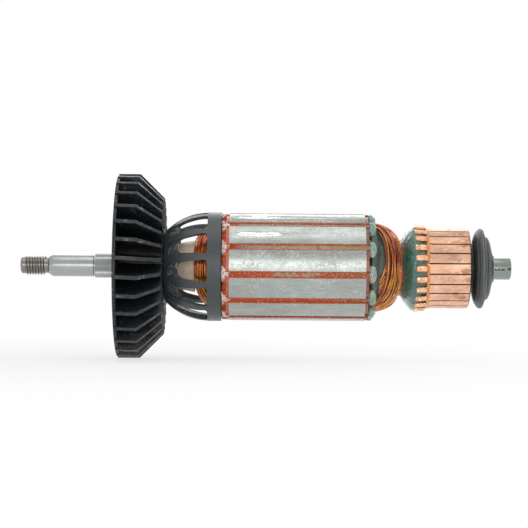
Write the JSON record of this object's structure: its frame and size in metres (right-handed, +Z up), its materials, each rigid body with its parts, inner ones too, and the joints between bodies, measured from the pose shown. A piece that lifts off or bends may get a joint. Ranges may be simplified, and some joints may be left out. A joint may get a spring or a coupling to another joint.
{
  "type": "motor armature",
  "caption": "Wound motor armature on a steel shaft, with a radial cooling fan, a windowed winding guard, a hooked copper commutator and a rubber dust shield.",
  "frame": {"origin": "centre of the front bearing seat, on the shaft's axis", "axes": "+X along the shaft towards the commutator, +Z up with the shaft level; a tooth with a balancing cut faces up and forwards (-Y)"},
  "size_m": [0.1785, 0.0669, 0.067],
  "materials": {
    "shaft": "ground steel",
    "fan": "black moulded nylon, slightly dusty",
    "winding_guard": "dark grey moulded plastic",
    "front_shaft_sleeve": "cream moulded plastic",
    "front_end_plate": "orange-red insulating fibre",
    "rear_end_plate": "brownish insulating fibre",
    "lamination_stack": "varnished electrical steel sheets, turned",
    "slot_liners": "orange-red insulating film under varnish",
    "slot_wedges": "cloudy pale resin",
    "rear_shaft_sleeve": "brown insulating tube",
    "coils": "enamelled copper wire, glossy amber",
    "lead_bundle": "varnished copper leads",
    "resin_collar": "dark green glossy resin",
    "commutator_bars": "turned copper with light staining",
    "commutator_body": "grey phenolic moulding",
    "commutator_bush": "turned brass",
    "dust_shield": "dark grey rubber"
  },
  "bodies": {
    "root": {"shaft": "shaft", "fan": "fan", "winding_guard": "winding_guard", "front_shaft_sleeve": "front_shaft_sleeve", "front_end_plate": "front_end_plate", "lamination_stack": "lamination_stack", "slot_liners": "slot_liners", "slot_wedges": "slot_wedges", "rear_end_plate": "rear_end_plate", "rear_shaft_sleeve": "rear_shaft_sleeve", "lead_bundle": "lead_bundle", "resin_collar": "resin_collar", "commutator_body": "commutator_body", "commutator_bush": "commutator_bush", "dust_shield": "dust_shield", "coil_01": "coils", "coil_02": "coils", "coil_03": "coils", "coil_04": "coils", "coil_05": "coils", "coil_06": "coils", "coil_07": "coils", "coil_08": "coils", "coil_09": "coils", "coil_10": "coils", "coil_11": "coils", "coil_12": "coils", "commutator_bar_01": "commutator_bars", "commutator_bar_02": "commutator_bars", "commutator_bar_03": "commutator_bars", "commutator_bar_04": "commutator_bars", "commutator_bar_05": "commutator_bars", "commutator_bar_06": "commutator_bars", "commutator_bar_07": "commutator_bars", "commutator_bar_08": "commutator_bars", "commutator_bar_09": "commutator_bars", "commutator_bar_10": "commutator_bars", "commutator_bar_11": "commutator_bars", "commutator_bar_12": "commutator_bars", "commutator_bar_13": "commutator_bars", "commutator_bar_14": "commutator_bars", "commutator_bar_15": "commutator_bars", "commutator_bar_16": "commutator_bars", "commutator_bar_17": "commutator_bars", "commutator_bar_18": "commutator_bars", "commutator_bar_19": "commutator_bars", "commutator_bar_20": "commutator_bars", "commutator_bar_21": "commutator_bars", "commutator_bar_22": "commutator_bars", "commutator_bar_23": "commutator_bars", "commutator_bar_24": "commutator_bars"}
  },
  "joints": []
}
